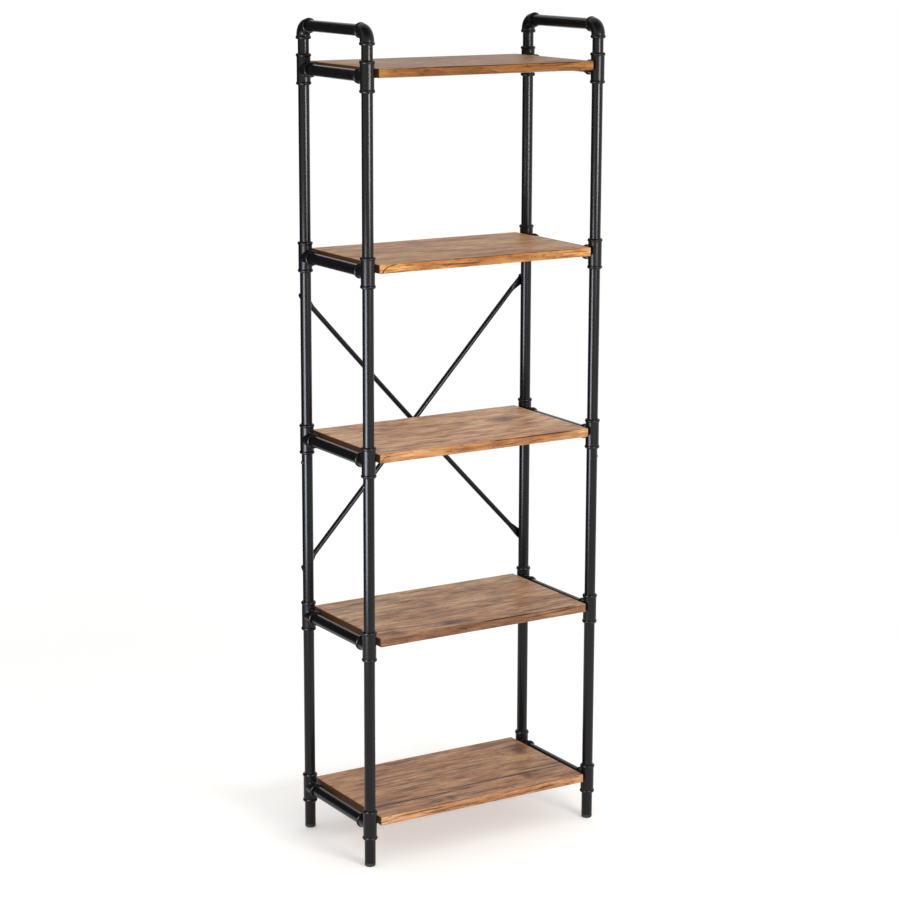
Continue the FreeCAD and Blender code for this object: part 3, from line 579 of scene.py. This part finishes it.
# %% Figures of the three upper boards
upper_boards = {
    # Each board's tints, for its top and its front edge, are print and painted light and shade together: they
    # make that board's faces lighter or darker for the light they get.
    "shelf_board_3": {
        "roll": 11.1,
        "tints_and_shade": ("#ffffff", "#d9cdb8"),
        "pale_ends": (200 * MM, 30 * MM),
        "knots": ((0.160, 0.1805, 0.030, 0.014),),
        "rings": ((-0.240, -0.019, 0.020, 0.014),),
        "seams": ((-0.001, 0.0, 0.23, 3 * MM, 0.9),),
    },
    "shelf_board_4": {
        "roll": 14.8,
        "tints_and_shade": ("#f2e6c5", "#e5d1a2"),
        "pale_ends": (230 * MM, 30 * MM),
        "rings": ((-0.222, -0.019, 0.034, 0.017),),
        "seams": ((0.0, -0.22, 0.25, 2 * MM, 0.8),),
    },
    "shelf_board_5": {
        "roll": 18.5,
        "tints_and_shade": ("#c7b992", "#ac9364"),
        "pale_ends": (30 * MM, 170 * MM),
        "seams": ((-0.0005, -0.2, 0.24, 3 * MM, 0.9),),
    },
}
print("and above them:", *upper_boards)

# %% Cut five lengths of foil
figures = lower_boards | upper_boards
foils = {node: wood_foil(node, **figure) for node, figure in figures.items()}
print("made", len(foils), "lengths of foil")

# %% [markdown]
# ## Putting the finishes on
# A finish could be given to each of the sixty pieces by hand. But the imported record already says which
# material slot each piece belongs to, so the finishes go on by slot, and only the boards by name.

# %% Assign the materials
finish_of = {
    "pipe": coated_tube,
    "cast_fitting": cast_iron,
    "brace_rod": coated_rod,
    "bracket": flat_steel,
    "foot_plastic": foot_plastic,
    "fastener": oxide,
    "bare_steel": drawn_steel,
}
for part in frame["record"]["subparts"]:
    material = foils.get(part["node"]) or finish_of[part["material_slot"]]
    materials = frame["nodes"][part["node"]].data.materials
    materials.clear()
    materials.append(material)

# %% [markdown]
# ## Floor
# The floor is a plain pale sheet that goes on past the camera's view. Its matt paint gives no mirror image of
# the unit. It is lit like everything else, so it keeps the unit's shadow, and a little glow of its own, which
# only the camera and reflections see, lifts it to nearly white. Away from the unit it fades to the white of
# the surroundings. A curved studio sweep would hide the horizon too, but its bend would show in the pipes.

# %% A flat sheet, and what the camera sees
FLOOR_HALF = 60.0


def flat_sheet(name, width, depth, material):
    """One rectangular face that lies flat about the origin."""
    corners = [(sx * width / 2, sy * depth / 2, 0) for sx, sy in ((-1, -1), (1, -1), (1, 1), (-1, 1))]
    mesh = bpy.data.meshes.new(name)
    mesh.from_pydata(corners, [], [(0, 1, 2, 3)])
    mesh.materials.append(material)
    sheet = bpy.data.objects.new(name, mesh)
    bpy.context.scene.collection.objects.link(sheet)
    return sheet


def seen_plainly(tree):
    """1 where the camera looks, straight or in a mirror or through glass, and 0 for all other light."""
    path = add(tree, "LightPath").outputs
    seen = add(tree, "Math", [path["Is Camera Ray"], path["Is Glossy Ray"]], operation="MAXIMUM")
    return add(tree, "Math", [seen, path["Is Transmission Ray"]], operation="MAXIMUM")


print("the floor will be", 2 * FLOOR_HALF, "m square")

# %% Floor
FADE_FROM, FADE_TO = 0.5, 3.0
FLOOR_LIFT = 0.25
MATT = 0.9

floor_paint, tree = start_material("pale_matt_floor")
place = add(tree, "TexCoord").outputs["Object"]
distance = add(tree, "VectorMath", [place], operation="LENGTH")
far = add(tree, "MapRange", [distance, FADE_FROM, FADE_TO], interpolation_type="SMOOTHSTEP")
seen = seen_plainly(tree)
shader = {
    "Base Color": linear("#f0efed"),
    "Roughness": MATT,
    "Emission Color": linear("#ffffff"),
    "Emission Strength": add(tree, "Math", [seen, FLOOR_LIFT], operation="MULTIPLY"),
}
paint = add(tree, "BsdfPrincipled", shader)
white = add(tree, "Math", [seen, far], operation="MULTIPLY")
glow = add(tree, "Emission", {"Color": linear("#ffffff"), "Strength": 1.0})
add(tree, "OutputMaterial", [add(tree, "MixShader", [white, paint, glow])])

floor = flat_sheet("floor", 2 * FLOOR_HALF, 2 * FLOOR_HALF, floor_paint)
print("made", floor.name, "which fades to white between", FADE_FROM, "and", FADE_TO, "m from the unit")

# %% [markdown]
# ## Surroundings
# The unit stands in a plain white room. The room lights it softly from all sides, at less than full
# strength, and looks white wherever the camera sees it. A picture of a real room could light the unit as
# well, but its windows and furniture would show in the pipes.

# %% World
WORLD_LIGHT = 0.85

world = bpy.data.worlds.new("studio")
bpy.context.scene.world = world
world.use_nodes = True
tree = world.node_tree
tree.nodes.clear()
ambient = add(tree, "Background", {"Color": linear("#ffffff"), "Strength": WORLD_LIGHT})
backdrop = add(tree, "Background", {"Color": linear("#ffffff"), "Strength": 1.0})
add(tree, "OutputWorld", [add(tree, "MixShader", [seen_plainly(tree), ambient, backdrop])])
print("world light", WORLD_LIGHT)

# %% [markdown]
# ## Softbox and strip
# Round pipe shows a lamp as a long highlight, as wide as the lamp looks from the pipe. Lamps bright enough to
# draw it on black pipe would lie as a white glare on the satin boards, seen from behind. So the boards and
# the pipework have a softbox each, nearly in one place, and the boards' own is kept out of reflections.
# Blender calls the sharing out light linking, and in a studio it is done with black card. The softboxes hang
# in front, level with the top boards, where they draw one edge of the upper posts. A strip stands low at the
# left and draws the other edge of the lower posts. It lights nothing, and only shows in the pipes.


# %% An area lamp
def area_lamp(name, place, aim, width, height, brightness, colour):
    """A rectangular lamp that faces a point. Its face is brightness times as bright as a white backdrop."""
    lamp = bpy.data.lights.new(name, "AREA")
    lamp.shape = "RECTANGLE"
    lamp.size, lamp.size_y = width, height
    lamp.energy = brightness * width * height * math.pi
    lamp.color = linear(colour)[:3]
    body = bpy.data.objects.new(name, lamp)
    body.location = place
    body.rotation_euler = (Vector(aim) - Vector(place)).to_track_quat("-Z", "Y").to_euler()
    body.visible_camera = False
    bpy.context.scene.collection.objects.link(body)
    return body


print("a lamp's power is its brightness times its area times", round(math.pi, 3))

# %% Lamps
SOFTBOX = {"aim": (0, 0, 1.1), "width": 1.3, "height": 0.5, "brightness": 38, "colour": "#fffaf4"}
STRIP = {"aim": (-0.28, 0, 0.85), "width": 0.75, "height": 0.85, "brightness": 24, "colour": "#e6efff"}

key = area_lamp("key_softbox", place=(0.35, -3.2, 1.36), **SOFTBOX)
pipe_softbox = area_lamp("pipe_softbox", place=(0.35, -3.1, 1.35), **SOFTBOX)
strip = area_lamp("side_strip", place=(-1.5, -0.5, 0.7), **STRIP)
key.visible_glossy = False
strip.visible_diffuse = False
print("made", key.name, pipe_softbox.name, "and", strip.name)

# %% Share the lamps out
pipework = bpy.data.collections.new("pipework")
boards_and_floor = bpy.data.collections.new("boards_and_floor")
boards_and_floor.objects.link(floor)
for name, node in frame["nodes"].items():
    group = boards_and_floor if name in foils else pipework
    group.objects.link(node)
key.light_linking.receiver_collection = boards_and_floor
pipe_softbox.light_linking.receiver_collection = pipework
strip.light_linking.receiver_collection = pipework

# %% [markdown]
# ## Dark cards
# A black coat with a white room all round it looks grey, because it mirrors the room. The room could be
# darkened, but then the boards and the floor would be darker too. So two dark cards stand in the room. One
# is behind the unit on the left, where the side rails and handles mirror it, and leaves them a thin line of
# light along the top. The other hangs over the front, where the elbows mirror it. Only reflections see the
# cards: they block no light and stay out of the camera's view. They are felt, which has no highlight of its
# own, and its grain keeps them from being one flat grey.

# %% Dark cards
FELT_GRAIN = 3 * MM

card_felt, tree = start_material("dark_felt")
place = add(tree, "TexCoord").outputs["Object"]
felt = add(tree, "TexNoise", {"Vector": place, "Scale": 1 / FELT_GRAIN})
tint = {FACTOR: felt, FIRST_COLOUR: linear("#4c4c4c"), SECOND_COLOUR: linear("#5a5a5a")}
shader = {
    "Base Color": add(tree, "Mix", tint, data_type="RGBA"),
    "Roughness": MATT,
}
add(tree, "OutputMaterial", [add(tree, "BsdfPrincipled", shader)])


def dark_card(name, centre, width, height, tilt, turn):
    """A felt card that only reflections see, tilted from lying flat and turned about the vertical."""
    card = flat_sheet(name, width, height, card_felt)
    card.location = centre
    card.rotation_euler = (math.radians(tilt), 0, math.radians(turn))
    card.visible_camera = card.visible_diffuse = card.visible_shadow = False
    return card


back_card = dark_card("back_card", centre=(-0.8, 1.55, 1.5), width=2.75, height=3.0, tilt=90, turn=35)
top_card = dark_card("top_card", centre=(-0.9, -1.5, 3.2), width=3.4, height=3.4, tilt=0, turn=-30)
print("made", back_card.name, "and", top_card.name)

# %% [markdown]
# ## Camera
# The camera stands to the left, a little higher than the unit, and is tipped slightly down. A short lens
# close by would make the front posts look much bigger than the back ones. A long one from further off keeps
# them nearly alike.

# %% Camera
IMAGE_SIDE = 900
SENSOR = 36.0
FOCAL_PIXELS = 2475.1
CENTRE_ROW = 418.5
CAMERA_PLACE = (-2.7730, -4.5362, 2.0399)
CAMERA_YAW, CAMERA_PITCH, CAMERA_ROLL = 31.486, -11.779, 0.165

lens = bpy.data.cameras.new("camera")
lens.sensor_width = SENSOR
lens.lens = SENSOR * FOCAL_PIXELS / IMAGE_SIDE
lens.shift_y = (CENTRE_ROW - IMAGE_SIDE / 2) / IMAGE_SIDE
camera = bpy.data.objects.new("camera", lens)
turn = Matrix.Rotation(math.radians(-CAMERA_YAW), 4, "Z")
tip = Matrix.Rotation(math.radians(90 + CAMERA_PITCH), 4, "X")
roll = Matrix.Rotation(math.radians(CAMERA_ROLL), 4, "Z")
camera.matrix_world = Matrix.Translation(CAMERA_PLACE) @ turn @ tip @ roll
bpy.context.scene.collection.objects.link(camera)
bpy.context.scene.camera = camera
bpy.context.scene.view_settings.view_transform = "Standard"
print("lens", round(lens.lens, 2), "mm")
